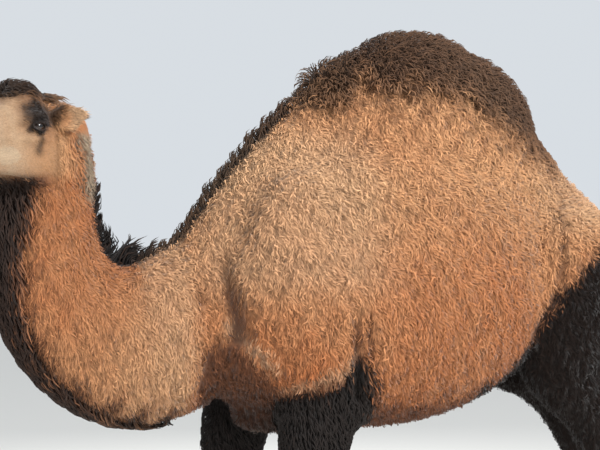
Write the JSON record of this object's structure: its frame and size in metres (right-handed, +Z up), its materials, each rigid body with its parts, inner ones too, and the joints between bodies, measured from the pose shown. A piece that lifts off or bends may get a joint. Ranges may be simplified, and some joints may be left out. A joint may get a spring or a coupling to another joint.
{
  "type": "standing camel",
  "caption": "Life-size standing one-humped camel in a thick curly winter coat, head turned to its left, dark hair on hump, mane, throat and thighs.",
  "frame": {"origin": "centre of the bounding box at floor level, under the soles of the feet", "axes": "+Z up, -Y towards the front of the body, +X towards the camel's left side"},
  "size_m": [0.8754, 2.4624, 2.2287],
  "materials": {
    "fleece": "matte",
    "short_hair": "matte",
    "dark_hair": "matte",
    "eye": "gloss",
    "horn": "satin"
  },
  "bodies": {
    "root": {"head": "short_hair", "ear_left": "short_hair", "ear_right": "short_hair", "eye_left": "eye", "eye_right": "eye", "neck_top": "fleece", "neck_middle": "fleece", "neck_base": "fleece", "trunk": "fleece", "hump": "fleece", "tail": "dark_hair", "foreleg_left_upper": "dark_hair", "foreleg_left_shank": "short_hair", "foreleg_left_foot": "short_hair", "foreleg_left_nail_inner": "horn", "foreleg_left_nail_outer": "horn", "foreleg_right_upper": "dark_hair", "foreleg_right_shank": "short_hair", "foreleg_right_foot": "short_hair", "foreleg_right_nail_inner": "horn", "foreleg_right_nail_outer": "horn", "hindleg_left_upper": "dark_hair", "hindleg_left_shank": "short_hair", "hindleg_left_foot": "short_hair", "hindleg_left_nail_inner": "horn", "hindleg_left_nail_outer": "horn", "hindleg_right_upper": "dark_hair", "hindleg_right_shank": "short_hair", "hindleg_right_foot": "short_hair", "hindleg_right_nail_inner": "horn", "hindleg_right_nail_outer": "horn"}
  },
  "joints": []
}
